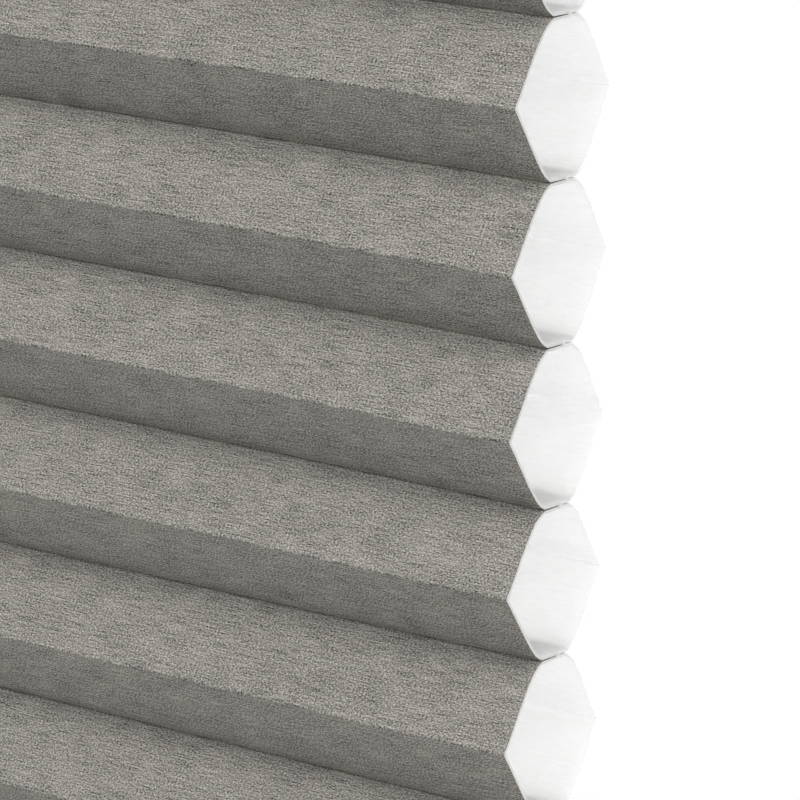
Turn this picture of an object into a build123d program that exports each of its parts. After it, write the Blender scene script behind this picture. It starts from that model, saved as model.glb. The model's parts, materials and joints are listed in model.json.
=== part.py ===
from build123d import *
import math
import os

# A cordless honeycomb blind, in millimetres. X runs along the rails, the front faces -Y and Z is up.
# The origin lies on the ceiling, midway between the four bracket screws.

# Fabric: two pleated sheets, glued to each other along flat seams
fabric_width = 440
cell_count = 24
cell_pitch = 20
cell_depth = 20
shoulder_radius = 8  # of a panel's bend beside its seam
lift_angle = 36  # degrees at which a panel leaves its seam
fabric_thickness = 0.35
glue_width = 4.6
glue_thickness = 0.1
back_flap = 1.3  # of the glued seam that is the back sheet's, the rest being the front sheet's
slot_length = 2.4  # die-cut cord slots in the seams
slot_clearance = 0.3

# Carrier strips in the fabric's end pockets
strip_width = 18
strip_thickness = 1.0
strip_clearance = 0.2
strip_end_gap = 2

# Head rail
rail_wall = 1.3
rail_corner = 1.5
rail_end_gap = 1  # by which the rails are longer than the fabric at each end
lip_reach = 4.7
head_room = 2.4  # above the spring lift
tray_side_gap = 2
track_slot = 12
track_play = 0.4

# Bottom rail
foot_side = 1.25  # by which its track's walls are thicker
foot_corner = 3
hollow_gap = 1.9  # between the cord stops and the ballast bar
seat_clearance = 0.1

# Caps of both rails
cap_thickness = 2.5
plug_depth = 8
plug_wall = 1.5
plug_fit = 0.2

# Ceiling brackets
bracket_inset = 50  # from the end of the fabric to the middle of a bracket
bracket_length = 26
bracket_thickness = 1.2
bracket_play = 0.2
bracket_overlap = 3  # of the plate over each lip
hook_reach = 2.5
hook_gap = 0.3
screw_hole_radius = 2.25
screw_spacing = 13

# Lift cords
cord_inset = 85  # from the end of the fabric to the cord
cord_diameter = 0.9
cord_gap = 0.15
cord_bore = 1.2
cord_wrap = 90  # degrees of the last turn on the spool
cord_lead = 10  # straight run before the pulley
cord_bend = 40

# Gears of the spring lift
gear_teeth = 16
gear_module = 1.5
gear_backlash = 0.3
gear_thickness = 3
pressure_angle = 20
addendum_share = 0.8
dedendum_share = 1.0

# Drums and spools on the gears
running_gap = 0.3
post_radius = 2
post_fit = 0.1
drum_radius = 7
flange_thickness = 0.9
flange_height = 2.5
spool_radius = 9

# Flat spring
spring_width = 7.2
spring_thickness = 0.4
spring_wound = 3  # thickness of the coil on the drive drum
spring_spare = 1  # thickness of the coil left on the storage drum

# Tray and cover of the spring lift
tray_wall = 1.5
tray_floor = 1.5
tray_corner = 1.5
tray_room = 1  # between the gears and the walls
cover_thickness = 1.5
notch_width = 4
notch_depth = 5

# Cord guides and pulleys
guide_floor = 1.5
guide_width = 13
guide_margin = 4
cheek_thickness = 2
cheek_reach = 3.5
pulley_radius = 3.5
pulley_flange = 1.2
pulley_width = 5
groove_width = 2.4
pin_radius = 1.2
pin_fit = 0.1
bush_radius = 2.8

# Cord stops and ballast bar in the bottom rail
stop_radius = 3
stop_height = 3
weight_width = 16
weight_height = 3
weight_end_gap = 2

# Pull handle under the bottom rail
handle_length = 70
handle_thickness = 2
handle_hold = 12  # of the handle under the rail
handle_reach = 9
handle_drop = 5
handle_bend = 0.6
handle_corner = 6

overrun = 1  # by which cuts pass the faces they open

# Shape of one cell and of the flattened pockets at the fabric's two ends
half_depth = cell_depth / 2
half_glue = glue_width / 2
cell_rise = (cell_pitch - glue_thickness) / 2
bend_y = shoulder_radius * math.sin(math.radians(lift_angle)) - half_glue
bend_z = cell_rise - shoulder_radius * math.cos(math.radians(lift_angle))
panel_length = math.sqrt((half_depth + bend_y) ** 2 + bend_z**2 - shoulder_radius**2)
panel_angle = math.atan2(bend_z, half_depth + bend_y) + math.atan2(shoulder_radius, panel_length)
inner_fold = half_depth - fabric_thickness / math.sin(panel_angle)
seam_offset = half_glue - back_flap
pocket_height = strip_thickness + 2 * (strip_clearance + fabric_thickness)
pocket_half = pocket_height / 2
pocket_reach = strip_width / 2 + pocket_half

# Sizes of the spring lift and of the rails around it
gear_pitch_radius = gear_teeth * gear_module / 2
gear_tip_radius = gear_pitch_radius + addendum_share * gear_module
axle_places = [2 * gear_pitch_radius * (i - 1.5) for i in range(4)]
drum_height = spring_width + flange_thickness + 3 * running_gap
tray_margin = gear_tip_radius + tray_room + tray_wall
tray_length = axle_places[-1] - axle_places[0] + 2 * tray_margin
tray_width = 2 * tray_margin
tray_height = tray_floor + gear_thickness + drum_height + 2 * running_gap
motor_room = tray_height + cover_thickness + head_room
rail_inner = tray_width + 2 * tray_side_gap
rail_width = rail_inner + 2 * rail_wall
rail_length = fabric_width + 2 * rail_end_gap
track_width = 2 * (pocket_reach + track_play)
track_height = pocket_height + track_play
foot_width = track_width + 2 * (rail_wall + foot_side)
foot_inner = foot_width - 2 * rail_wall
hollow_height = seat_clearance + stop_height + hollow_gap + weight_height

# Levels, from the ceiling down
rail_top = -(bracket_thickness + bracket_play)
lip_under = rail_top - rail_wall
web_top = lip_under - motor_room
track_top = web_top - rail_wall
track_floor = track_top - track_height
rail_bottom = track_floor - rail_wall
top_glue = track_floor - glue_thickness / 2
bottom_glue = top_glue - cell_count * cell_pitch
low_pocket_top = bottom_glue - glue_thickness / 2
foot_lip_under = low_pocket_top + seat_clearance
foot_top = foot_lip_under + rail_wall
foot_track_floor = foot_lip_under - track_height
hollow_top = foot_track_floor - rail_wall
hollow_floor = hollow_top - hollow_height
foot_bottom = hollow_floor - rail_wall

# Levels in the spring lift
gear_floor = web_top + tray_floor + running_gap
gear_top = gear_floor + gear_thickness
drum_top = gear_top + drum_height
cover_under = web_top + tray_height
cover_top = cover_under + cover_thickness

# Places along the rails
bracket_x = fabric_width / 2 - bracket_inset
cord_x = fabric_width / 2 - cord_inset

# Course of the right-hand cord, from its spool over its pulley and down
cord_radius = cord_diameter / 2
cord_level = drum_top - flange_thickness - cord_gap - cord_radius
cord_end = hollow_top - seat_clearance - stop_height
wound_radius = spool_radius + cord_gap + cord_radius
turn_radius = pulley_radius + cord_gap + cord_radius
pulley_x = cord_x - turn_radius
pulley_z = cord_level - turn_radius
lead_x = pulley_x - cord_lead
spool_x = axle_places[-1]
run_angle = math.asin(wound_radius / (lead_x - spool_x))


class Outline:
    """A closed outline in a plane, drawn as one run of lines and arcs."""

    def __init__(self, start):
        self.start = start
        self.here = start
        self.edges = []

    def line(self, end):
        self.edges.append(Line(self.here, end))
        self.here = end

    def arc(self, end, centre):
        radius = math.dist(end, centre)
        middle = [(a + b) / 2 - c for a, b, c in zip(self.here, end, centre)]
        stretch = radius / math.hypot(*middle)
        through = tuple(c + m * stretch for c, m in zip(centre, middle))
        self.edges.append(ThreePointArc(self.here, through, end))
        self.here = end

    def face(self):
        self.line(self.start)
        return make_face(self.edges)


def along_x(sketch, length, middle=0):
    """Extrude a section drawn in Y and Z along the rails, centred on a place in X."""
    return extrude(Plane.YZ.offset(middle - length / 2) * sketch, length)


def between(width, low, high, middle=0):
    """A rectangle in a rail's section, from one level to another."""
    return Pos(middle, (low + high) / 2) * Rectangle(width, high - low)


def upright(radius, low, high, x=0, y=0):
    """A cylinder on a vertical axis."""
    return extrude(Plane.XY.offset(low) * Pos(x, y) * Circle(radius), high - low)


def block(length, width, low, high, x=0, y=0):
    """A block between two levels."""
    return extrude(Plane.XY.offset(low) * Pos(x, y) * Rectangle(length, width), high - low)


def both_sides(piece):
    """The right-hand piece and its mirror image on the left."""
    return {"right": piece, "left": mirror(piece, about=Plane.YZ)}


def shoulder(cell_z, up, inset):
    """The panel's end, the seam's edge and the arc's centre of one rounded shoulder of a cell."""
    radius = shoulder_radius - inset
    level = cell_rise - inset
    panel_end = (bend_y - radius * math.sin(panel_angle), bend_z + radius * math.cos(panel_angle))
    seam_edge = (bend_y - math.sqrt(radius**2 - (level - bend_z) ** 2), level)
    return [(y, cell_z + up * z) for y, z in (panel_end, seam_edge, (bend_y, bend_z))]


def pocket_turn(outline, middle, up, inset):
    """Draw one flattened end pocket around its strip's edge, from its seam side and back."""
    half = pocket_half - inset
    centre = (-strip_width / 2, middle)
    outline.line((centre[0], middle + up * half))
    outline.arc((centre[0] - half, middle), centre)
    outline.arc((centre[0], middle - up * half), centre)


def sheet(seam):
    """A pleated sheet with its fold to the front and its glued flaps reaching back to the seam."""
    cells = [top_glue - cell_pitch * (i + 0.5) for i in range(cell_count)]
    high_pocket = track_floor + pocket_half
    low_pocket = low_pocket_top - pocket_half
    pocket_inner = pocket_half - fabric_thickness

    outline = Outline((seam, high_pocket + pocket_half))
    pocket_turn(outline, high_pocket, 1, 0)
    outline.line((-half_glue, high_pocket - pocket_half))
    for cell_z in cells:
        panel_end, seam_edge, centre = shoulder(cell_z, 1, 0)
        outline.line(seam_edge)
        outline.arc(panel_end, centre)
        outline.line((-half_depth, cell_z))
        panel_end, seam_edge, centre = shoulder(cell_z, -1, 0)
        outline.line(panel_end)
        outline.arc(seam_edge, centre)
    outline.line((-half_glue, low_pocket + pocket_half))
    pocket_turn(outline, low_pocket, 1, 0)
    outline.line((seam, low_pocket - pocket_half))

    outline.line((seam, low_pocket - pocket_inner))
    pocket_turn(outline, low_pocket, -1, fabric_thickness)
    outline.line((seam, low_pocket + pocket_inner))
    for cell_z in reversed(cells):
        panel_end, seam_edge, centre = shoulder(cell_z, -1, fabric_thickness)
        outline.line((seam, seam_edge[1]))
        outline.line(seam_edge)
        outline.arc(panel_end, centre)
        outline.line((-inner_fold, cell_z))
        panel_end, seam_edge, centre = shoulder(cell_z, 1, fabric_thickness)
        outline.line(panel_end)
        outline.arc(seam_edge, centre)
        outline.line((seam, seam_edge[1]))
    outline.line((seam, high_pocket - pocket_inner))
    pocket_turn(outline, high_pocket, -1, fabric_thickness)
    outline.line((seam, high_pocket + pocket_inner))
    return along_x(outline.face(), fabric_width)


def front_fabric():
    """The front sheet, whose flaps carry the cord slots."""
    fabric = sheet(seam_offset)
    low = foot_track_floor - overrun
    for x in (-cord_x, cord_x):
        fabric -= block(slot_length, 2 * (cord_radius + slot_clearance), low, track_top, x)
    return fabric


def back_fabric():
    """The back sheet, which meets the front sheet's flaps at the seam."""
    return mirror(sheet(-seam_offset), about=Plane.XZ)


def strip(floor):
    """A flat carrier strip with a hole for each cord."""
    high = floor + strip_thickness
    bar = block(fabric_width - 2 * strip_end_gap, strip_width, floor, high)
    for x in (-cord_x, cord_x):
        bar -= upright(cord_bore, floor - overrun, high + overrun, x)
    return bar


def rail_outline(width, low, high, corner):
    """The rounded outline of a rail's section."""
    return Pos(0, (low + high) / 2) * RectangleRounded(width, high - low, corner)


def head_rail():
    """An extrusion with an open channel, a fabric track and a closed chamber on each side of the track."""
    chamber_width = (rail_inner - track_width) / 2 - rail_wall
    chamber_middle = (rail_inner - chamber_width) / 2
    section = rail_outline(rail_width, rail_bottom, rail_top, rail_corner)
    section -= between(rail_inner, web_top, lip_under)
    section -= between(rail_inner - 2 * lip_reach, lip_under, rail_top + overrun)
    section -= between(track_width, track_floor, track_top)
    section -= between(track_slot, rail_bottom - overrun, track_floor)
    for side in (-1, 1):
        section -= between(chamber_width, track_floor, track_top, side * chamber_middle)
    rail = along_x(section, rail_length)
    for x in (-cord_x, cord_x):
        rail -= upright(bush_radius + pin_fit, track_top - overrun, web_top + overrun, x)
    return rail


def bottom_rail():
    """An extrusion with a fabric track above and a hollow for the cords' ends and the ballast below."""
    section = rail_outline(foot_width, foot_bottom, foot_top, foot_corner)
    section -= between(track_width, foot_track_floor, foot_lip_under)
    section -= between(track_slot, foot_lip_under, foot_top + overrun)
    section -= between(foot_inner, hollow_floor, hollow_top)
    rail = along_x(section, rail_length)
    for x in (-cord_x, cord_x):
        rail -= upright(cord_bore, hollow_top - overrun, foot_track_floor + overrun, x)
    return rail


def cap(outline, plug_width, low, high):
    """A right-hand cap: a plate over the rail's end and a hollow plug inside it."""
    end = rail_length / 2
    plug = between(plug_width - 2 * plug_fit, low + plug_fit, high - plug_fit)
    inner_width = plug_width - 2 * (plug_fit + plug_wall)
    plug -= between(inner_width, low + plug_fit + plug_wall, high - plug_fit - plug_wall)
    plate = along_x(outline, cap_thickness, end + cap_thickness / 2)
    return plate + along_x(plug, plug_depth, end - plug_depth / 2)


def end_cap():
    outline = rail_outline(rail_width, rail_bottom, rail_top, rail_corner)
    return cap(outline, rail_inner, web_top, lip_under)


def bottom_cap():
    outline = rail_outline(foot_width, foot_bottom, foot_top, foot_corner)
    return cap(outline, foot_inner, hollow_floor, hollow_top)


def bracket():
    """A right-hand ceiling bracket: a plate whose two hooks reach under the rail's lips."""
    mouth = rail_inner / 2 - lip_reach
    leg = mouth - hook_gap - bracket_thickness / 2
    hook_width = bracket_thickness + hook_reach
    hook_middle = leg - bracket_thickness / 2 + hook_width / 2
    section = between(2 * (mouth + bracket_overlap), -bracket_thickness, 0)
    for side in (-1, 1):
        section += between(bracket_thickness, lip_under - bracket_thickness, 0, side * leg)
        section += between(hook_width, lip_under - bracket_thickness, lip_under, side * hook_middle)
    piece = along_x(section, bracket_length, bracket_x)
    for y in (-screw_spacing / 2, screw_spacing / 2):
        piece -= upright(screw_hole_radius, -bracket_thickness - overrun, overrun, bracket_x, y)
    return piece


def involute(angle):
    return math.tan(angle) - angle


def gear_face(turn):
    """A spur gear's outline, with a tooth or a gap towards +X, and its bore."""
    pressure = math.radians(pressure_angle)
    base_radius = gear_pitch_radius * math.cos(pressure)
    root_radius = gear_pitch_radius - dedendum_share * gear_module
    half_tooth = math.pi / (2 * gear_teeth) - gear_backlash / (4 * gear_pitch_radius)
    flank = []
    for radius in (root_radius, gear_pitch_radius, gear_tip_radius):
        slope = math.acos(min(1, base_radius / radius))
        flank.append((radius, half_tooth + involute(pressure) - involute(slope)))
    tooth = [(r, -a) for r, a in flank] + [(r, a) for r, a in reversed(flank)]
    points = []
    for i in range(gear_teeth):
        middle = 2 * math.pi * (i + turn) / gear_teeth
        points += [(r * math.cos(middle + a), r * math.sin(middle + a)) for r, a in tooth]
    return make_face(Polyline(*points, close=True)) - Circle(post_radius + post_fit)


def gear(index):
    """The gear on one of the four posts, set so that teeth meet gaps along the row."""
    face = gear_face(index % 2 / 2)
    return extrude(Plane.XY.offset(gear_floor) * Pos(axle_places[index], 0) * face, gear_thickness)


def tube(radius, low, high, x):
    """A drum or flange with a bore for its post."""
    return upright(radius, low, high, x) - upright(post_radius + post_fit, low - overrun, high + overrun, x)


def cord_spool(index):
    """A gear with a drum for the cord and a flange above it."""
    x = axle_places[index]
    flange = tube(spool_radius + flange_height, drum_top - flange_thickness, drum_top, x)
    return gear(index) + tube(spool_radius, gear_top, drum_top, x) + flange


def drive_drum():
    """A gear with the drum that the spring pulls on."""
    return gear(1) + tube(drum_radius, gear_top, drum_top, axle_places[1])


def storage_drum():
    """The drum that the spring runs back to, free above the idler gear."""
    x = axle_places[2]
    low = gear_top + running_gap
    flange = tube(drum_radius + spring_wound, low, low + flange_thickness, x)
    return tube(drum_radius, low, drum_top, x) + flange


def spring_strip():
    """The flat spring: a coil on each drum and the strip that crosses from one to the other."""
    low = gear_top + running_gap + flange_thickness + running_gap
    bore = drum_radius + running_gap
    centres = [axle_places[1], axle_places[2]]
    radii = [bore + spring_wound, bore + spring_spare]
    tangents = [r - spring_thickness / 2 for r in radii]
    span = centres[1] - centres[0]
    lean = math.asin(sum(tangents) / span)
    length = math.sqrt(span**2 - sum(tangents) ** 2)
    start = (centres[0] + tangents[0] * math.sin(lean), -tangents[0] * math.cos(lean))
    coils = Sketch()
    for x, radius in zip(centres, radii):
        coils += Pos(x, 0) * (Circle(radius) - Circle(bore))
    run = Pos(length / 2, 0) * Rectangle(length, spring_thickness)
    run = Pos(*start) * Rot(0, 0, math.degrees(lean)) * run
    return extrude(Plane.XY.offset(low) * (coils + run), spring_width)


def tray_face():
    return RectangleRounded(tray_length, tray_width, tray_corner + tray_wall)


def cord_crossing(x):
    """How far behind the middle the cord's slanting run passes a place along the rail."""
    return (lead_x - x) * math.tan(run_angle)


def motor_base():
    """The spring lift's tray, with four axle posts and a notch in each end for the cord."""
    inner = RectangleRounded(tray_length - 2 * tray_wall, tray_width - 2 * tray_wall, tray_corner)
    tray = extrude(Plane.XY.offset(web_top) * tray_face(), tray_height)
    tray -= extrude(Plane.XY.offset(web_top + tray_floor) * inner, tray_height)
    end = (tray_length - tray_wall) / 2
    notch_floor = cord_level - notch_depth
    for x in (-end, end):
        tray -= block(2 * tray_wall, notch_width, notch_floor, cover_top, x, cord_crossing(end))
    for x in axle_places:
        tray += upright(post_radius, web_top + tray_floor, cover_top, x)
    return tray


def motor_cover():
    """The spring lift's lid, held on the posts' tips."""
    lid = extrude(Plane.XY.offset(cover_under) * tray_face(), cover_thickness)
    for x in axle_places:
        lid -= upright(post_radius + pin_fit, cover_under - overrun, cover_top + overrun, x)
    return lid


def lift_cord():
    """The right-hand cord: off its spool, over its pulley and down through the fabric to its stop."""
    leave = 90 - math.degrees(run_angle)
    centre = (spool_x, 0, cord_level)
    on_spool = CenterArc(centre, wound_radius, leave + cord_wrap, -cord_wrap)
    corner = (cord_x, 0, cord_level)
    run = FilletPolyline(
        on_spool @ 1,
        (lead_x, 0, cord_level),
        corner,
        (cord_x, 0, cord_end),
        radius=[cord_bend, turn_radius],
    )
    path = Wire(on_spool.edges() + run.edges())
    return sweep(Plane(origin=path @ 0, z_dir=path % 0) * Circle(cord_radius), path)


def cord_guide():
    """A right-hand guide: a bush through the rail's web and two cheeks for the pulley's pin."""
    low_x = pulley_x - cheek_reach - guide_margin
    high_x = cord_x + bush_radius + guide_margin
    floor_top = web_top + guide_floor
    guide = block(high_x - low_x, guide_width, web_top, floor_top, (low_x + high_x) / 2)
    guide += upright(bush_radius, track_top, web_top, cord_x)
    guide -= upright(cord_bore, track_top - overrun, floor_top + overrun, cord_x)
    cheek = Pos(pulley_x, (floor_top + pulley_z) / 2) * Rectangle(2 * cheek_reach, pulley_z - floor_top)
    cheek += Pos(pulley_x, pulley_z) * Circle(cheek_reach)
    cheek -= Pos(pulley_x, pulley_z) * Circle(pin_radius + pin_fit)
    inner = pulley_width / 2 + running_gap
    for y in (inner, -inner - cheek_thickness):
        guide += extrude(Plane.XZ.offset(-y) * cheek, -cheek_thickness)
    return guide


def pulley():
    """A grooved wheel that turns the right-hand cord down."""
    rim = pulley_radius + pulley_flange
    bore = pin_radius + post_fit
    side = pulley_width / 2
    mouth = groove_width / 2
    floor = cord_radius + cord_gap
    section = Polyline(
        (bore, -side),
        (rim, -side),
        (rim, -mouth),
        (pulley_radius, -floor),
        (pulley_radius, floor),
        (rim, mouth),
        (rim, side),
        (bore, side),
        close=True,
    )
    return Pos(pulley_x, 0, pulley_z) * revolve(make_face(section), Axis.Y)


def pulley_pin():
    """The pin that carries the right-hand pulley between the guide's cheeks."""
    length = pulley_width + 2 * (running_gap + cheek_thickness)
    return Pos(pulley_x, 0, pulley_z) * extrude(Plane.XZ.offset(-length / 2) * Circle(pin_radius), length)


def cord_stop():
    """A bead on the right-hand cord's end, under the bottom rail's web."""
    high = hollow_top - seat_clearance
    bead = upright(stop_radius, cord_end, high, cord_x)
    return bead - upright(cord_radius + cord_gap, cord_end - overrun, high + overrun, cord_x)


def bottom_weight():
    """A ballast bar on the floor of the bottom rail's hollow."""
    length = rail_length - 2 * (plug_depth + weight_end_gap)
    return block(length, weight_width, hollow_floor, hollow_floor + weight_height)


def pull_handle():
    """A finger lip under the middle of the bottom rail, turned down at its front edge."""
    back = handle_hold - foot_width / 2
    front = -foot_width / 2 - handle_reach
    low = foot_bottom - handle_drop
    outer = handle_bend + handle_thickness
    centre = (front + outer, foot_bottom - outer)
    shape = Outline((back, foot_bottom))
    shape.line((front + outer, foot_bottom))
    shape.arc((front, foot_bottom - outer), centre)
    shape.line((front, low))
    shape.line((front + handle_thickness, low))
    shape.line((front + handle_thickness, foot_bottom - outer))
    shape.arc((front + outer, foot_bottom - handle_thickness), centre)
    shape.line((back, foot_bottom - handle_thickness))
    plan = Pos(0, (front + back) / 2) * RectangleRounded(handle_length, back - front, handle_corner)
    return along_x(shape.face(), handle_length) & extrude(Plane.XY.offset(low) * plan, handle_drop)


pieces = {
    "head_rail": head_rail(),
    "motor_base": motor_base(),
    "motor_cover": motor_cover(),
    "cord_spool_left": cord_spool(0),
    "drive_drum": drive_drum(),
    "idler_gear": gear(2),
    "storage_drum": storage_drum(),
    "cord_spool_right": cord_spool(3),
    "spring_strip": spring_strip(),
    "top_strip": strip(track_floor + fabric_thickness + strip_clearance),
    "front_fabric": front_fabric(),
    "back_fabric": back_fabric(),
    "bottom_strip": strip(low_pocket_top - pocket_height + fabric_thickness + strip_clearance),
    "bottom_rail": bottom_rail(),
    "bottom_weight": bottom_weight(),
    "pull_handle": pull_handle(),
}
handed = {
    "bracket": bracket,
    "end_cap": end_cap,
    "cord_guide": cord_guide,
    "pulley": pulley,
    "pulley_pin": pulley_pin,
    "lift_cord": lift_cord,
    "cord_stop": cord_stop,
    "bottom_cap": bottom_cap,
}
for name, make in handed.items():
    for side, piece in both_sides(make()).items():
        pieces[f"{name}_{side}"] = piece

os.makedirs("parts", exist_ok=True)
for name, piece in pieces.items():
    export_step(piece, f"parts/{name}.step")
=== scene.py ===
import json
import math

import bpy
import numpy as np
from mathutils import Matrix, Vector


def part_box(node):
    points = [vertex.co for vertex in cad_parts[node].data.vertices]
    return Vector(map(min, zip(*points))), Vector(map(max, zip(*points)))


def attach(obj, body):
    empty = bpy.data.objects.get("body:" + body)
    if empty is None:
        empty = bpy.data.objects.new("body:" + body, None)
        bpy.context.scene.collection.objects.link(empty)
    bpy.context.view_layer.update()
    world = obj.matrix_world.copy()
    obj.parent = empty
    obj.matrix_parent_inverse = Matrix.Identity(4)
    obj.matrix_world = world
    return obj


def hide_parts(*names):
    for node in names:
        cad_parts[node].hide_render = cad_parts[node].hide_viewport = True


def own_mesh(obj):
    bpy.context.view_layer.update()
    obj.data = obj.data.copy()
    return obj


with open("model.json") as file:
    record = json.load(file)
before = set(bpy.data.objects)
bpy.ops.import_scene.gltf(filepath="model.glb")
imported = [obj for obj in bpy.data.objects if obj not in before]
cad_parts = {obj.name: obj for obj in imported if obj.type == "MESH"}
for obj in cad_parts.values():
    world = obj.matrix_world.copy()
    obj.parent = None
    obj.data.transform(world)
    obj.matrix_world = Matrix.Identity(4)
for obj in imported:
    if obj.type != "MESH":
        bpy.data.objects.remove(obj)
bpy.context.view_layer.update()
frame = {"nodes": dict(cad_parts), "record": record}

# Sizes in metres, in the frame's own axes: X along the rails, the front at -Y, Z up
MM = 0.001

# Fabric, with the sizes of the part's source
CELL_COUNT = 24
CELL_PITCH = 20 * MM
CELL_DEPTH = 20 * MM
SHOULDER_RADIUS = 8 * MM  # of a panel's bend beside its seam
LIFT_ANGLE = math.radians(36)  # at which a panel leaves its seam
CLOTH = 0.35 * MM
GLUE_WIDTH = 4.6 * MM
GLUE = 0.1 * MM
BACK_FLAP = 1.3 * MM  # of a seam's width that is the back sheet's
SEAM = GLUE_WIDTH / 2 - BACK_FLAP  # the depth at which the two sheets' flaps meet
STRIP_WIDTH = 18 * MM
POCKET_HEIGHT = 2.1 * MM

# Folds and lips of the scene's sheets: a lip is the edge of a panel beside its seam
FOLD_ROUNDING = 0.1 * MM
BACK_SPREAD = 0.5 * MM  # by which the back sheet's lips lie farther out
FRONT_LIP = GLUE_WIDTH / 2
BACK_LIP = GLUE_WIDTH / 2 + BACK_SPREAD
LIP_CLOSED = -0.048 * MM  # by which a lip is moved off its seam, nearly shutting the glue's gap
LIP_PLAY = 0.012 * MM
LIP_OPEN = 0.1 * MM  # more than that at the blind's ends
LIP_REACH = 1.2 * MM
LIP_SHARES = (1, 0.4)  # of that move at a lip and at the next point

# Bows and drifts of the scene's sheets
WANDER = 0.18 * MM  # of the folds
FRONT_BOWS = (0.5 * MM, 0.3 * MM)  # of a cell's upper and lower panels
BACK_BOWS = (0.5 * MM, 0.55 * MM)
BOW_PLAY = 0.1 * MM
BOW_PEAK = 27 / 4  # brings share * (1 - share) ** 2 to 1 at its highest
SEAM_PLAY = 0.25 * MM  # by which the seams hang unevenly at the blind's ends, and less farther in
SEAM_REACH = 40 * MM
SEAMS_IN_VIEW = (0.15 * MM, 0.04 * MM, -0.36 * MM, -0.55 * MM, 0.35 * MM)  # as photographed, from the top
WAVES = ((310 * MM, 1), (130 * MM, 1), (57 * MM, 0.8), (23 * MM, 0.5), (11 * MM, 0.3))  # lengths and weights
WAVE_LEAST = 0.2  # share of a wave's weight
WAVE_HEIGHT = 2  # about what the waves add up to

# Points of the sheets' sections, and places of the sections along the blind
SHOULDER_POINTS = 4
PANEL_STEPS = 4
FOLD_SHARES = (0.25, 0.5)  # of the way round a fold
POCKET_POINTS = 9
NEAR_END = 60 * MM
NEAR_STEP = 2.5 * MM
FAR_STEP = 12 * MM
END_STATIONS = (0.3 * MM, 1.2 * MM)
SHARP_ANGLE = math.radians(32)

# The split between a sheet and its hems, just outside the rails
STACK_PLAY = 0.2 * MM
HEM_GAP = 0.12 * MM

# Lift cords
CORD_RADIUS = 0.45 * MM
CORD_LEAD = 10 * MM  # straight run before the pulley
CORD_BEND = 40 * MM
CORD_SPLIT = 0.42 * MM  # above the fabric, where a cord's run in the head rail ends and its drop starts
CORD_SIDES = 10
CORD_SHARP_ANGLE = math.radians(50)
WOUND_POINTS = 10
BEND_POINTS = 5
PULLEY_POINTS = 8
DROP_POINTS = 24

# Grain of the cloths, along the blind and down the cloth
GREY_GRAIN = (0.29 * MM, 0.18 * MM)
GREY_SLUB = (4 * MM, 0.18 * MM)
GREY_CLOUD = (6 * MM, 4 * MM)
WHITE_FIBRE = (2.4 * MM, 0.4 * MM)
WHITE_CLOUD = (5 * MM, 4 * MM)
LINING_FIBRE = (1.1 * MM, 0.9 * MM)

# Grain of the other finishes, along X, Y and Z
MOULDED_GRAIN = (0.5 * MM, 0.5 * MM, 0.5 * MM)
MOULDED_CLOUD = (25 * MM, 12 * MM, 12 * MM)
ZINC_STREAK = (4 * MM, 2 * MM, 2 * MM)
SPRING_STREAK = (8 * MM, 8 * MM, 0.4 * MM)
BRAID_STRAND = (1 * MM, 1 * MM, 1 * MM)
NOISE_LOW, NOISE_HIGH = 0.3, 0.7  # between which most of a noise's values lie

# Relief of the finishes
GREY_RELIEF = 0.06 * MM
WHITE_RELIEF = 0.05 * MM
MOULDED_RELIEF = 0.02 * MM
METAL_RELIEF = 0.01 * MM
BRAID_RELIEF = 0.1 * MM

# How far light spreads in the white cloths, how near the seams the grey cloth is lightened as painted light
# in their shaded creases, and how near the seams the linings stop letting light through
OUTER_REACH = 0.3 * MM
EDGE_REACH = 0.03 * MM
BACK_LINING_REACH = 5 * MM
FRONT_LINING_REACH = 1.2 * MM
PAINTED_SEAM_LIGHT_BAND = 0.8 * MM
SHUT_BAND = 0.9 * MM

# The fabric's place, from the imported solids
front_low, front_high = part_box("front_fabric")
FABRIC_LEFT, FABRIC_RIGHT = front_low[0], front_high[0]
TOP_GLUE = front_high[2] - POCKET_HEIGHT - GLUE / 2
BOTTOM_GLUE = TOP_GLUE - CELL_COUNT * CELL_PITCH
STACK_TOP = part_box("head_rail")[0][2] - STACK_PLAY
STACK_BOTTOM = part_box("bottom_rail")[1][2] + STACK_PLAY

# Camera, as the photograph was taken: towards the right-hand end of one cell at mid-height
VIEW_CELL = 11
CAMERA_FROM_CELL = Vector((369.5, -523.2, 163.8)) * MM
CAMERA_AZIMUTH = math.radians(36.94)
CAMERA_ELEVATION = math.radians(14.13)
CAMERA_ROLL = math.radians(0.66)
CAMERA_LENS = 245.2  # in millimetres, as the sensor is
CAMERA_SENSOR = 36
CAMERA_NEAREST = 10 * MM

# Lamps: azimuth from the front to the right, elevation, and power in watts
LAMPS = {
    "key": (math.radians(-8), math.radians(56), 17.4),
    "side": (math.radians(90), math.radians(35), 7),
    "back": (math.radians(180), math.radians(12), 21),
}
LAMP_DISTANCE = 1.6
LAMP_SIZE = 0.9

# Surroundings and floor
WHITE = (1, 1, 1, 1)
AMBIENT_ABOVE = 0.62
AMBIENT_BELOW = 0.09
FLOOR_LEVEL = -0.6
FLOOR_RADIUS = 0.68
FLOOR_SIDES = 96
FLOOR_COLOUR = (0.88, 0.88, 0.87, 1)

SEED = 7
rng = np.random.default_rng(SEED)


# Fabric meshes

def cell_middle(index):
    return TOP_GLUE - CELL_PITCH * (index + 0.5)


def seam_drift():
    """How far each seam's ends hang above their even place; the first and last are held by the strips."""
    drift = rng.uniform(-SEAM_PLAY, SEAM_PLAY, CELL_COUNT + 1)
    first = VIEW_CELL - len(SEAMS_IN_VIEW) // 2
    drift[first:first + len(SEAMS_IN_VIEW)] = SEAMS_IN_VIEW
    drift[[0, -1]] = 0
    return drift


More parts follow.
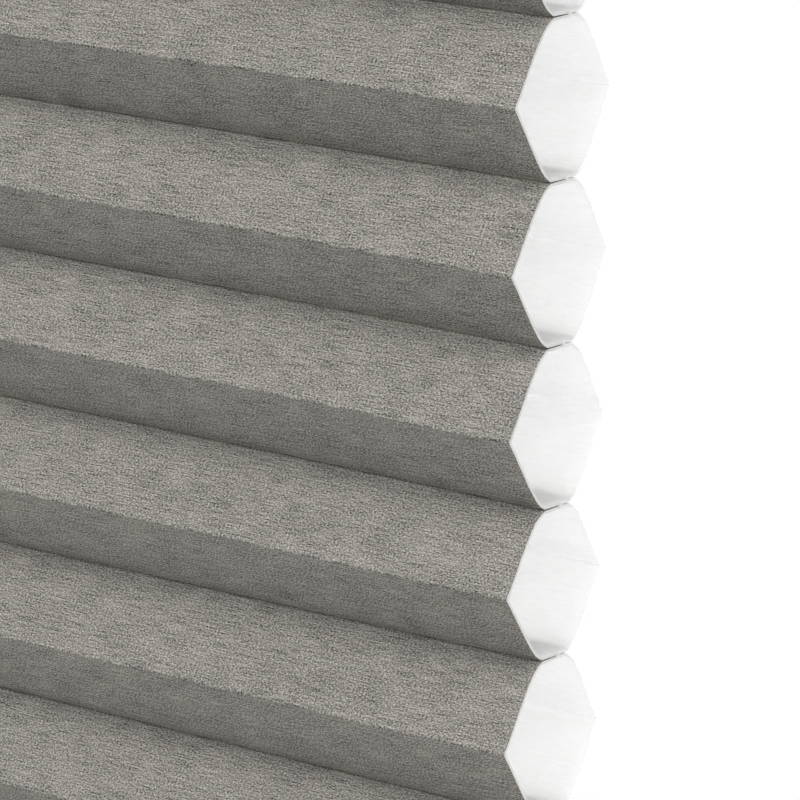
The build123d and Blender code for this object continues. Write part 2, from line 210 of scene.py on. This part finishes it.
def panel_shape(lip):
    """The centre of a panel's bend beside its seam, from the cell's middle, and the panel's slope."""
    bend_y = SHOULDER_RADIUS * math.sin(LIFT_ANGLE) - lip
    bend_z = (CELL_PITCH - GLUE) / 2 - SHOULDER_RADIUS * math.cos(LIFT_ANGLE)
    run = CELL_DEPTH / 2 + bend_y
    length = math.sqrt(run**2 + bend_z**2 - SHOULDER_RADIUS**2)
    return bend_y, bend_z, math.atan2(bend_z, run) + math.atan2(SHOULDER_RADIUS, length)


def half_cell(seam, lip):
    """The upper half of a cell's section at mid-thickness: depth, height, fold share and lip share."""
    bend_y, bend_z, slope = panel_shape(lip)
    radius = SHOULDER_RADIUS - CLOTH / 2
    level = (CELL_PITCH - GLUE - CLOTH) / 2
    points = [(seam - CLOTH / 2, level)]
    for turn in np.linspace(math.acos((level - bend_z) / radius), slope, SHOULDER_POINTS):
        points.append((bend_y - radius * math.sin(turn), bend_z + radius * math.cos(turn)))
    start = np.array(points[-1])
    fold = np.array((CLOTH / 2 / math.sin(slope) - CELL_DEPTH / 2, 0))
    stop = fold + (start - fold) * FOLD_ROUNDING / np.linalg.norm(start - fold)
    for share in np.linspace(0, 1, PANEL_STEPS + 1)[1:]:
        points.append(start + (stop - start) * share)
    mirrored = stop * (1, -1)
    for t in FOLD_SHARES:
        points.append((1 - t) ** 2 * stop + 2 * t * (1 - t) * fold + t**2 * mirrored)
    points = np.array(points)
    run = np.cumsum(np.linalg.norm(np.diff(points, axis=0), axis=1))
    fold_share = np.clip(np.append(0, run - run[0]) / (run[-1] - run[0]), 0, 1)
    lip_share = np.zeros(len(points))
    lip_share[1:3] = LIP_SHARES
    return np.column_stack((points, fold_share, lip_share))


def pocket(seam, middle):
    """The section of a flattened end pocket around its strip, from its upper layer to its lower one."""
    half = (POCKET_HEIGHT - CLOTH) / 2
    edge = -STRIP_WIDTH / 2
    points = [(seam - CLOTH / 2, middle + half)]
    for turn in np.linspace(0, math.pi, POCKET_POINTS):
        points.append((edge - half * math.sin(turn), middle + half * math.cos(turn)))
    points.append((seam - CLOTH / 2, middle - half))
    return points


def with_levels(rows, index, levels):
    """The rows with new ones at some levels, on the line that ends in the row of that index."""
    above, below = rows[index - 1], rows[index]
    added = [above + (below - above) * (level - above[1]) / (below[1] - above[1]) for level in levels]
    return np.concatenate((rows[:index], added, rows[index:]))


def sheet_path(seam, lip):
    """A sheet's section from top to bottom, and the two rows at which it parts from its hems.

    Each row has its depth, height, cell, side of the fold, fold share and lip share. Pockets have side 0.
    """
    half = half_cell(seam, lip)
    rows = [(y, z, 0, 0, 0, 0) for y, z in pocket(seam, TOP_GLUE + (GLUE + POCKET_HEIGHT) / 2)]
    for cell in range(CELL_COUNT):
        middle = cell_middle(cell)
        rows += [(y, middle + z, cell, 1, *shares) for y, z, *shares in half]
        rows += [(y, middle - z, cell, -1, *shares) for y, z, *shares in half[-2::-1]]
    last = CELL_COUNT - 1
    rows += [(y, z, last, 0, 0, 0) for y, z in pocket(seam, BOTTOM_GLUE - (GLUE + POCKET_HEIGHT) / 2)]
    rows = np.array(rows)
    upper = np.flatnonzero(rows[:, 1] > STACK_TOP)[-1] + 1
    rows = with_levels(rows, upper, (STACK_TOP, STACK_TOP - HEM_GAP))
    lower = np.flatnonzero(rows[:, 1] < STACK_BOTTOM)[0]
    rows = with_levels(rows, lower, (STACK_BOTTOM + HEM_GAP, STACK_BOTTOM))
    return rows, (upper + 1, lower + 1)


def wave(x, size):
    """A slow, uneven drift along the cloth for every cell."""
    total = 0
    for length, weight in WAVES:
        phase = rng.uniform(0, 2 * math.pi, CELL_COUNT)
        reach = rng.uniform(WAVE_LEAST, 1, CELL_COUNT) * weight
        total = total + reach * np.sin(2 * math.pi * np.asarray(x)[:, None] / length + phase)
    return size * total / WAVE_HEIGHT


def sections(path, stations, bows, slope):
    """The sheet's section at every station along X, with each cell's folds wandering a little."""
    y, z, cell, side, share, lip = path.T
    cell = cell.astype(int)
    free = np.abs(side)
    depth = (np.abs(y) - GLUE_WIDTH / 2) / ((CELL_DEPTH - GLUE_WIDTH) / 2)
    weight = np.clip(depth, 0, 1) * free
    out, down = wave(stations, WANDER), wave(stations, WANDER)
    upper, lower = (size + wave(stations, BOW_PLAY) for size in bows)
    bow = np.where(side > 0, upper[:, cell], lower[:, cell]) * BOW_PEAK * share * (1 - share) ** 2
    near_seam = np.where(side > 0, DRIFT[cell], DRIFT[cell + 1])
    far_seam = np.where(side > 0, DRIFT[cell + 1], DRIFT[cell])
    hang = near_seam * (1 - share / 2) + far_seam * share / 2
    from_end = np.minimum(stations - FABRIC_LEFT, FABRIC_RIGHT - stations)
    at_end = np.clip(1 - from_end / LIP_REACH, 0, 1)[:, None]
    parted = LIP_CLOSED + np.abs(wave(stations, LIP_PLAY)) + LIP_OPEN * at_end
    moved_y = y + out[:, cell] * weight - bow * math.sin(slope)
    moved_z = z + down[:, cell] * weight + side * (bow * math.cos(slope) - parted[:, cell] * lip)
    moved_z = moved_z + hang * free * np.exp(-from_end / SEAM_REACH)[:, None]
    return np.stack((moved_y, moved_z), axis=2)


def station_places():
    """Where the sheets' sections stand along X, close together near the ends."""
    near = np.arange(0, NEAR_END, NEAR_STEP)
    ends = np.concatenate((near, END_STATIONS))
    far = np.arange(FABRIC_LEFT + NEAR_END, FABRIC_RIGHT - NEAR_END + FAR_STEP / 2, FAR_STEP)
    return np.sort(np.concatenate((FABRIC_LEFT + ends, far, FABRIC_RIGHT - ends)))


def offset(lines, distance):
    """Lines moved sideways by a distance, to the front where they run down."""
    step = np.diff(lines, axis=1)
    step /= np.linalg.norm(step, axis=2, keepdims=True)
    normal = np.stack((step[:, :, 1], -step[:, :, 0]), axis=2)
    before = np.concatenate((normal[:, :1], normal), axis=1)
    after = np.concatenate((normal, normal[:, -1:]), axis=1)
    middle = before + after
    return lines + distance * 2 * middle / (middle**2).sum(axis=2, keepdims=True)


def sheet_faces(count, length):
    """Faces of a thick sheet of count by length points, with each face's kind: skin, lining or cut edge."""
    outer = np.arange(count * length).reshape(count, length)
    inner = outer + count * length
    skin = np.stack((outer[:-1, :-1], outer[:-1, 1:], outer[1:, 1:], outer[1:, :-1]), axis=2).reshape(-1, 4)
    lining = (skin + count * length)[:, ::-1]
    left = np.stack((outer[0, :-1], inner[0, :-1], inner[0, 1:], outer[0, 1:]), axis=1)
    right = np.stack((outer[-1, :-1], outer[-1, 1:], inner[-1, 1:], inner[-1, :-1]), axis=1)
    top = np.stack((outer[:-1, 0], outer[1:, 0], inner[1:, 0], inner[:-1, 0]), axis=1)
    bottom = np.stack((outer[:-1, -1], inner[:-1, -1], inner[1:, -1], outer[1:, -1]), axis=1)
    faces = np.concatenate((skin, lining, left, right, top, bottom))
    kinds = np.repeat((0, 1, 2), (len(skin), len(lining), len(faces) - len(skin) - len(lining)))
    return faces, kinds


def lengths(line):
    """The length along a line of (depth, height) up to each of its points."""
    return np.append(0, np.cumsum(np.linalg.norm(np.diff(line[:, :2], axis=0), axis=1)))


def make_cloth(name, body, stations, skins, along, front, finishes):
    """A thick cloth between two skins, with its flat coordinates and its skin, lining and edge finishes."""
    across = np.broadcast_to(stations[:, None, None], skins[0].shape[:2] + (1,))
    points = np.stack([np.concatenate((across, skin), axis=2) for skin in skins]).reshape(-1, 3)
    faces, kinds = sheet_faces(*skins[0].shape[:2])
    faces = faces[:, ::front]
    mesh = bpy.data.meshes.new(name)
    mesh.from_pydata(points.tolist(), [], faces.tolist())
    spread = np.stack(np.broadcast_arrays(stations[:, None], along[None, :]), axis=2)
    flat = np.concatenate((spread.reshape(-1, 2),) * 2)
    layer = mesh.uv_layers.new(name="cloth")
    layer.data.foreach_set("uv", flat[faces.reshape(-1)].reshape(-1).astype(np.float32))
    for finish in finishes:
        mesh.materials.append(MATERIALS[finish])
    mesh.polygons.foreach_set("material_index", kinds.astype(np.int32))
    mesh.shade_smooth()
    mesh.set_sharp_from_angle(angle=SHARP_ANGLE)
    mesh.update()
    cloth = bpy.data.objects.new(name, mesh)
    bpy.context.collection.objects.link(cloth)
    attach(cloth, body)
    return cloth


def make_sheet(name, node, seam, lip, front, bows, finishes):
    """One pleated sheet, with the two hems that its rails hold."""
    path, (upper, lower) = sheet_path(seam, lip)
    along = lengths(path)
    stations = station_places()
    middle = sections(path, stations, bows, panel_shape(lip)[2])
    ends = [upper - 1, upper, lower - 1, lower]
    middle[:, ends, 1] = path[ends, 1]
    skins = [offset(middle, distance) * (front, 1) for distance in (CLOTH / 2, -CLOTH / 2)]
    made = []
    for ending, body, rows in (
        ("", "head", slice(upper, lower)),
        ("_top_hem", "head", slice(upper)),
        ("_bottom_hem", "foot", slice(lower, None)),
    ):
        pair = [skin[:, rows] for skin in skins]
        made.append(make_cloth(name + ending, body, stations, pair, along[rows], front, finishes))
    sheet, *hems = made
    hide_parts(node)
    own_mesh(sheet)


# Materials

class Surface:
    """A Principled material, with nodes added one at a time."""

    def __init__(self, name):
        self.material = bpy.data.materials.new(name)
        self.material.use_nodes = True
        self.tree = self.material.node_tree
        self.shader = self.tree.nodes["Principled BSDF"]

    def fill(self, node, values):
        """Gives a node's inputs their values, or links them to other nodes' outputs."""
        for key, value in values.items():
            if isinstance(value, bpy.types.NodeSocket):
                self.tree.links.new(value, node.inputs[key])
            else:
                node.inputs[key].default_value = value

    def add(self, kind, values, **settings):
        node = self.tree.nodes.new("ShaderNode" + kind)
        for key, value in settings.items():
            setattr(node, key, value)
        self.fill(node, values)
        return node

    def principled(self, **values):
        self.fill(self.shader, {key.replace("_", " "): value for key, value in values.items()})

    def flat_place(self):
        """Places on the cloth laid flat, in metres along the blind and down the cloth."""
        return self.add("UVMap", {}, uv_map="cloth").outputs["UV"]

    def cloth_place(self, length, height):
        """Cloth coordinates, in grains of that length along the blind and height down it."""
        values = {"Vector": self.flat_place(), "Scale": (1 / length, 1 / height, 1)}
        return self.add("Mapping", values).outputs["Vector"]

    def solid_place(self, *grain):
        """Object coordinates, in grains of that size along X, Y and Z."""
        place = self.add("TexCoord", {}).outputs["Object"]
        values = {"Vector": place, "Scale": [1 / size for size in grain]}
        return self.add("Mapping", values).outputs["Vector"]

    def noise(self, place, detail=2, roughness=0.5, distortion=0):
        values = {"Vector": place, "Scale": 1, "Detail": detail}
        values |= {"Roughness": roughness, "Distortion": distortion}
        return self.add("TexNoise", values).outputs["Fac"]

    def spread(self, value, low, high, start, end):
        """A value between low and high carried over to start and end, and held there."""
        values = {"Value": value, "From Min": low, "From Max": high, "To Min": start, "To Max": end}
        return self.add("MapRange", values).outputs["Result"]

    def vary(self, noise, start, end):
        """A noise carried over to the range from start to end."""
        return self.spread(noise, NOISE_LOW, NOISE_HIGH, start, end)

    def calculate(self, operation, *values):
        return self.add("Math", dict(enumerate(values)), operation=operation).outputs[0]

    def sum(self, first, second):
        return self.calculate("ADD", first, second)

    def product(self, first, second):
        return self.calculate("MULTIPLY", first, second)

    def tint(self, colour, value):
        """A colour made lighter and darker by a value around 1."""
        values = {"Factor": 1, "A": (*colour, 1), "B": value}
        return self.add("Mix", values, data_type="RGBA", blend_type="MULTIPLY").outputs["Result"]

    def from_fold(self, first, step):
        """The length along the cloth from the nearest pleat's fold."""
        down = self.add("SeparateXYZ", {0: self.flat_place()}).outputs["Y"]
        values = {"Value": down, "From Min": first - step / 2, "From Max": first + step / 2}
        turns = self.add("MapRange", values, clamp=False).outputs["Result"]
        away = self.calculate("SUBTRACT", self.calculate("FRACT", turns), 0.5)
        return self.product(self.calculate("ABSOLUTE", away), step)

    def bump(self, height, depth):
        return self.add("Bump", {"Height": height, "Distance": depth, "Strength": 1}).outputs["Normal"]


def fold_places(seam, lip):
    """Down a flat sheet: the first pleat's fold, the length to the next fold, and from a fold to its lip."""
    path, _ = sheet_path(seam, lip)
    along = lengths(path)
    fold_share, lip_share = path[:, 4], path[:, 5]
    folds, lips = along[fold_share == 1], along[lip_share == 1]
    return float(folds[0]), float(folds[1] - folds[0]), float(folds[0] - lips[0])


def grey_fabric():
    """Grey cloth with flecks, slubs and clouds, and with painted light beside its seams that lifts the shade
    of their creases.
    """
    s = Surface("grey_fabric")
    grain = s.noise(s.cloth_place(*GREY_GRAIN), detail=1)
    slub = s.noise(s.cloth_place(*GREY_SLUB))
    cloud = s.noise(s.cloth_place(*GREY_CLOUD))
    fleck = s.calculate("POWER", s.spread(grain, 0.25, 0.75, 0, 1), 1.5)
    shade = s.sum(s.spread(fleck, 0, 1, 0.3, 2.1), s.vary(slub, -0.34, 0.34))
    shade = s.sum(shade, s.vary(cloud, -0.1, 0.1))
    first, step, reach = fold_places(SEAM, FRONT_LIP)
    # Painted light: within a band beside each seam the cloth's colour is made up to 1.7 times lighter,
    # lifting the shade in the crease
    shade = s.product(shade, s.spread(s.from_fold(first, step), reach - PAINTED_SEAM_LIGHT_BAND, reach, 1, 1.7))
    s.principled(
        Base_Color=s.tint((0.288, 0.275, 0.252), shade),
        Roughness=0.92,
        Specular_IOR_Level=0.2,
        Normal=s.bump(s.sum(grain, slub), GREY_RELIEF),
    )
    return s.material


def white_fabric(name, colour, reach):
    """White nonwoven that lets some light through."""
    s = Surface(name)
    fibre = s.noise(s.cloth_place(*WHITE_FIBRE), detail=3, roughness=0.6, distortion=0.8)
    cloud = s.noise(s.cloth_place(*WHITE_CLOUD), detail=3, roughness=0.55)
    shade = s.sum(s.vary(fibre, 0.97, 1.03), s.vary(cloud, -0.03, 0.03))
    s.principled(
        Base_Color=s.tint(colour, shade),
        Roughness=0.9,
        Specular_IOR_Level=0.2,
        Normal=s.bump(fibre, WHITE_RELIEF),
        Subsurface_Weight=1,
        Subsurface_Radius=(1, 1, 1),
        Subsurface_Scale=reach,
    )
    return s


def white_lining(name, colour, reach, seam, lip):
    """A sheet's inner side: light comes through its panels, and not at their seams."""
    s = white_fabric(name, colour, reach)
    first, step, to_lip = fold_places(seam, lip)
    panel = s.spread(s.from_fold(first, step), to_lip - SHUT_BAND, to_lip, 1, 0)
    fibre = s.noise(s.cloth_place(*LINING_FIBRE), detail=3, roughness=0.6, distortion=0.5)
    s.principled(Subsurface_Weight=s.product(panel, s.vary(fibre, 0.84, 1)))
    return s


def moulded(name, colour, roughness):
    """Moulded or powder-coated, with a fine even grain."""
    s = Surface(name)
    grain = s.noise(s.solid_place(*MOULDED_GRAIN))
    cloud = s.noise(s.solid_place(*MOULDED_CLOUD))
    s.principled(
        Base_Color=s.tint(colour, s.vary(cloud, 0.97, 1.03)),
        Roughness=s.vary(grain, roughness - 0.06, roughness + 0.06),
        Normal=s.bump(grain, MOULDED_RELIEF),
    )
    return s.material


def metal(name, colour, roughness, streak):
    """Bare or plated steel, with streaks along one axis."""
    s = Surface(name)
    grain = s.noise(s.solid_place(*streak), detail=3, roughness=0.6)
    s.principled(
        Base_Color=s.tint(colour, s.vary(grain, 0.92, 1.08)),
        Metallic=1,
        Roughness=s.vary(grain, roughness - 0.08, roughness + 0.08),
        Normal=s.bump(grain, METAL_RELIEF),
    )
    return s.material


def braid():
    """White braided cord."""
    s = Surface("cord_braid")
    values = {"Vector": s.solid_place(*BRAID_STRAND), "Scale": 0.8, "Distortion": 0.6}
    strand = s.add("TexWave", values).outputs["Fac"]
    s.principled(
        Base_Color=s.tint((0.78, 0.78, 0.75), s.spread(strand, 0, 1, 0.85, 1.05)),
        Roughness=0.7,
        Normal=s.bump(strand, BRAID_RELIEF),
    )
    return s.material


MATERIALS = {
    "grey_fabric": grey_fabric(),
    "white_fabric": white_fabric("white_fabric", (0.66, 0.66, 0.65), OUTER_REACH).material,
    "white_lining": white_lining(
        "white_lining", (0.97, 0.97, 0.965), BACK_LINING_REACH, -SEAM, BACK_LIP
    ).material,
    "grey_lining": white_lining(
        "grey_lining", (0.95, 0.95, 0.94), FRONT_LINING_REACH, SEAM, FRONT_LIP
    ).material,
    "cut_edge": white_fabric("cut_edge", (0.84, 0.84, 0.83), EDGE_REACH).material,
    "coated_aluminium": moulded("coated_aluminium", (0.66, 0.66, 0.645), 0.4),
    "white_plastic": moulded("white_plastic", (0.62, 0.62, 0.6), 0.45),
    "grey_plastic": moulded("grey_plastic", (0.42, 0.43, 0.44), 0.5),
    "gear_plastic": moulded("gear_plastic", (0.72, 0.71, 0.66), 0.35),
    "strip_plastic": moulded("strip_plastic", (0.74, 0.74, 0.72), 0.4),
    "zinc_steel": metal("zinc_steel", (0.55, 0.56, 0.57), 0.35, ZINC_STREAK),
    "spring_steel": metal("spring_steel", (0.4, 0.41, 0.43), 0.3, SPRING_STREAK),
    "cord_braid": braid(),
}


def paint_nodes():
    """Every CAD node takes its own slot's material."""
    for part in frame["record"]["subparts"]:
        node = frame["nodes"][part["node"]]
        node.data.materials.clear()
        node.data.materials.append(MATERIALS[part["material_slot"]])


# Lift cords

def tube(name, points):
    """A round cord along a line of points."""
    line = [Vector(point) for point in points]
    ways = [(b - a).normalized() for a, b in zip(line, line[1:])]
    ways = [ways[0]] + [(a + b).normalized() for a, b in zip(ways, ways[1:])] + [ways[-1]]
    turns = [2 * math.pi * i / CORD_SIDES for i in range(CORD_SIDES)]
    across = ways[0].orthogonal().normalized()
    corners = []
    for place, way in zip(line, ways):
        across = (across - way * across.dot(way)).normalized()
        other = way.cross(across)
        corners += [place + CORD_RADIUS * (math.cos(t) * across + math.sin(t) * other) for t in turns]
    rings = np.arange(len(corners)).reshape(len(line), CORD_SIDES)
    beside = np.roll(rings, -1, axis=1)
    sides = np.stack((rings[:-1], beside[:-1], beside[1:], rings[1:]), axis=2).reshape(-1, 4)
    mesh = bpy.data.meshes.new(name)
    mesh.from_pydata(corners, [], sides.tolist() + [rings[0, ::-1].tolist(), rings[-1].tolist()])
    mesh.materials.append(MATERIALS["cord_braid"])
    mesh.shade_smooth()
    mesh.set_sharp_from_angle(angle=CORD_SHARP_ANGLE)
    piece = bpy.data.objects.new(name, mesh)
    bpy.context.collection.objects.link(piece)
    return piece


def make_cord(side, sign):
    """A cord's run in the head rail and its drop through the cells, on the side of that sign."""
    low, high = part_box(f"lift_cord_{side}")
    spool_low, spool_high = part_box(f"cord_spool_{side}")
    pulley_low, pulley_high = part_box(f"pulley_{side}")
    level = high[2] - CORD_RADIUS
    cord_x = max(abs(low[0]), abs(high[0])) - CORD_RADIUS
    spool_x = abs(spool_low[0] + spool_high[0]) / 2
    pulley_x = abs(pulley_low[0] + pulley_high[0]) / 2
    spool_radius = high[1] - CORD_RADIUS
    pulley_radius = cord_x - pulley_x
    lead = cord_x - pulley_radius - CORD_LEAD
    angle = math.asin(spool_radius / (lead - spool_x))
    bend = CORD_BEND * math.tan(angle / 2)
    leave = front_high[2] + CORD_SPLIT
    run = []
    for turn in np.linspace(math.pi - angle, math.pi / 2 - angle, WOUND_POINTS):
        run.append((spool_x + spool_radius * math.cos(turn), spool_radius * math.sin(turn), level))
    for share in np.linspace(0, 1, BEND_POINTS):
        turn = angle * (1 - share)
        run.append((lead + bend - CORD_BEND * math.sin(turn), CORD_BEND * (1 - math.cos(turn)), level))
    for turn in np.linspace(0, math.pi / 2, PULLEY_POINTS):
        over = level - pulley_radius * (1 - math.cos(turn))
        run.append((cord_x - pulley_radius + pulley_radius * math.sin(turn), 0, over))
    run.append((cord_x, 0, leave))
    head = tube(f"lift_cord_{side}_run", [(sign * x, y, z) for x, y, z in run])
    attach(head, "head")
    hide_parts(f"lift_cord_{side}")
    levels = np.linspace(leave, low[2], DROP_POINTS)
    drop = tube(f"lift_cord_{side}_drop", [(sign * cord_x, 0, z) for z in levels])
    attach(drop, "head")
    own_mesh(drop)


# Camera, light and floor

def way_to(azimuth, elevation):
    """The direction out from the blind at an azimuth, from the front to the right, and an elevation."""
    level = math.cos(elevation)
    return Vector((math.sin(azimuth) * level, -math.cos(azimuth) * level, math.sin(elevation)))


def make_camera():
    """The photograph's viewpoint."""
    back = way_to(CAMERA_AZIMUTH, CAMERA_ELEVATION)
    level = Vector((math.cos(CAMERA_AZIMUTH), math.sin(CAMERA_AZIMUTH), 0))
    upright = back.cross(level)
    right = math.cos(CAMERA_ROLL) * level + math.sin(CAMERA_ROLL) * upright
    up = back.cross(right)
    data = bpy.data.cameras.new("camera")
    data.lens = CAMERA_LENS
    data.sensor_width = CAMERA_SENSOR
    data.clip_start = CAMERA_NEAREST
    camera = bpy.data.objects.new("camera", data)
    bpy.context.collection.objects.link(camera)
    place = Vector((FABRIC_RIGHT, 0, cell_middle(VIEW_CELL))) + CAMERA_FROM_CELL
    turn = Matrix((right, up, back)).transposed().to_4x4()
    camera.matrix_world = Matrix.Translation(place) @ turn
    bpy.context.scene.camera = camera


def softbox(name, aim, azimuth, elevation, power):
    """A square area lamp that the camera doesn't see."""
    way = way_to(azimuth, elevation)
    data = bpy.data.lights.new(name, "AREA")
    data.size = LAMP_SIZE
    data.energy = power
    lamp = bpy.data.objects.new(name, data)
    bpy.context.collection.objects.link(lamp)
    turn = way.to_track_quat("Z", "Y").to_matrix().to_4x4()
    lamp.matrix_world = Matrix.Translation(aim + way * LAMP_DISTANCE) @ turn
    lamp.visible_camera = False


def make_world():
    """Soft surroundings: their light is stronger from above, and they are plain white where they are seen."""
    world = bpy.data.worlds.new("studio")
    bpy.context.scene.world = world
    world.use_nodes = True
    nodes, links = world.node_tree.nodes, world.node_tree.links
    light = nodes["Background"]
    light.inputs["Color"].default_value = WHITE
    place = nodes.new("ShaderNodeTexCoord")
    split = nodes.new("ShaderNodeSeparateXYZ")
    links.new(place.outputs["Generated"], split.inputs[0])
    grade = nodes.new("ShaderNodeMapRange")
    for key, value in {"From Min": -1, "To Min": AMBIENT_BELOW, "To Max": AMBIENT_ABOVE}.items():
        grade.inputs[key].default_value = value
    links.new(split.outputs["Z"], grade.inputs["Value"])
    links.new(grade.outputs[0], light.inputs["Strength"])
    seen = nodes.new("ShaderNodeBackground")
    seen.inputs["Color"].default_value = WHITE
    path = nodes.new("ShaderNodeLightPath")
    either = nodes.new("ShaderNodeMath")
    either.operation = "MAXIMUM"
    links.new(path.outputs["Is Camera Ray"], either.inputs[0])
    links.new(path.outputs["Is Transmission Ray"], either.inputs[1])
    mix = nodes.new("ShaderNodeMixShader")
    links.new(either.outputs[0], mix.inputs[0])
    links.new(light.outputs[0], mix.inputs[1])
    links.new(seen.outputs[0], mix.inputs[2])
    links.new(mix.outputs[0], nodes["World Output"].inputs["Surface"])


def make_floor():
    """A pale round floor well below the blind."""
    bpy.ops.mesh.primitive_circle_add(
        vertices=FLOOR_SIDES, radius=FLOOR_RADIUS, fill_type="NGON", location=(0, 0, FLOOR_LEVEL)
    )
    floor = bpy.context.object
    floor.name = "floor"
    s = Surface("floor")
    s.principled(Base_Color=FLOOR_COLOUR, Roughness=0.9)
    floor.data.materials.append(s.material)


bpy.context.scene.view_settings.view_transform = "Standard"

DRIFT = seam_drift()
front_finishes = ("grey_fabric", "grey_lining", "cut_edge")
back_finishes = ("white_fabric", "white_lining", "white_lining")
make_sheet("front_sheet", "front_fabric", SEAM, FRONT_LIP, 1, FRONT_BOWS, front_finishes)
make_sheet("back_sheet", "back_fabric", -SEAM, BACK_LIP, -1, BACK_BOWS, back_finishes)
paint_nodes()
for side, sign in (("left", -1), ("right", 1)):
    make_cord(side, sign)

make_camera()
make_world()
make_floor()
lit_place = Vector((FABRIC_RIGHT / 2, 0, cell_middle(VIEW_CELL)))
for name, (azimuth, elevation, power) in LAMPS.items():
    softbox(name, lit_place, azimuth, elevation, power)
